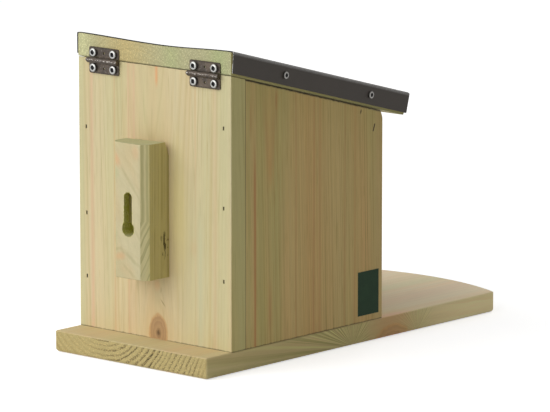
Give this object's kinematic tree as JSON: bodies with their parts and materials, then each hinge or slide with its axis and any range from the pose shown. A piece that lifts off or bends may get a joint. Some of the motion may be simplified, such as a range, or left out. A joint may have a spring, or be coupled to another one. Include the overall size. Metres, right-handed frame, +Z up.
{
  "type": "squirrel feeder box",
  "caption": "Wooden feeder box with a sloped hinged lid under folded sheet metal, a clear front window, a long base with a curved front and a keyhole block to hang it by.",
  "frame": {"origin": "centre of the base board's underside", "axes": "+Z up; the clear window and the curved feeding end face -Y, the back panel and the keyhole block face +Y; +X is to the right seen from the front"},
  "size_m": [0.1772, 0.3912, 0.2673],
  "materials": {
    "pine_base": "pressure-treated pine, planed, pale green, end grain at the rear",
    "pine_back": "pressure-treated pine, planed, pale yellow green",
    "pine_side": "pressure-treated pine, planed, close straight grain",
    "pine_block": "pressure-treated pine, planed, cathedral grain",
    "pine_lid": "pressure-treated pine, sawn end grain, mottled green",
    "clear_sheet": "clear, polished",
    "roof_steel": "dark warm grey, matt",
    "hinge_steel": "dull rolled steel",
    "screw_steel": "zinc plated, satin",
    "brad_steel": "dull",
    "staple_wire": "darkened wire",
    "label_green": "plain dark green label, satin"
  },
  "bodies": {
    "box": {"base_board": "pine_base", "back_panel": "pine_back", "side_panel_left": "pine_side", "side_panel_right": "pine_side", "front_window": "clear_sheet", "window_staples": "staple_wire", "hanging_block": "pine_block", "hinge_screws_box": "screw_steel", "back_panel_brads": "brad_steel", "base_brads": "brad_steel", "hanging_block_screws": "screw_steel", "label_sticker": "label_green", "hinge_left_box_leaf": "hinge_steel", "hinge_left_pin": "hinge_steel", "hinge_right_box_leaf": "hinge_steel", "hinge_right_pin": "hinge_steel"},
    "lid": {"lid_board": "pine_lid", "roof_sheet": "roof_steel", "roof_screws": "screw_steel", "hinge_screws_lid": "screw_steel", "hinge_left_lid_leaf": "hinge_steel", "hinge_right_lid_leaf": "hinge_steel"}
  },
  "joints": [
    {"name": "lid_hinge", "type": "hinge", "parent": "box", "child": "lid", "pos_m": [0, 0.1676, 0.2458], "axis": [-1, 0, 0], "range_deg": [0, 149]}
  ]
}
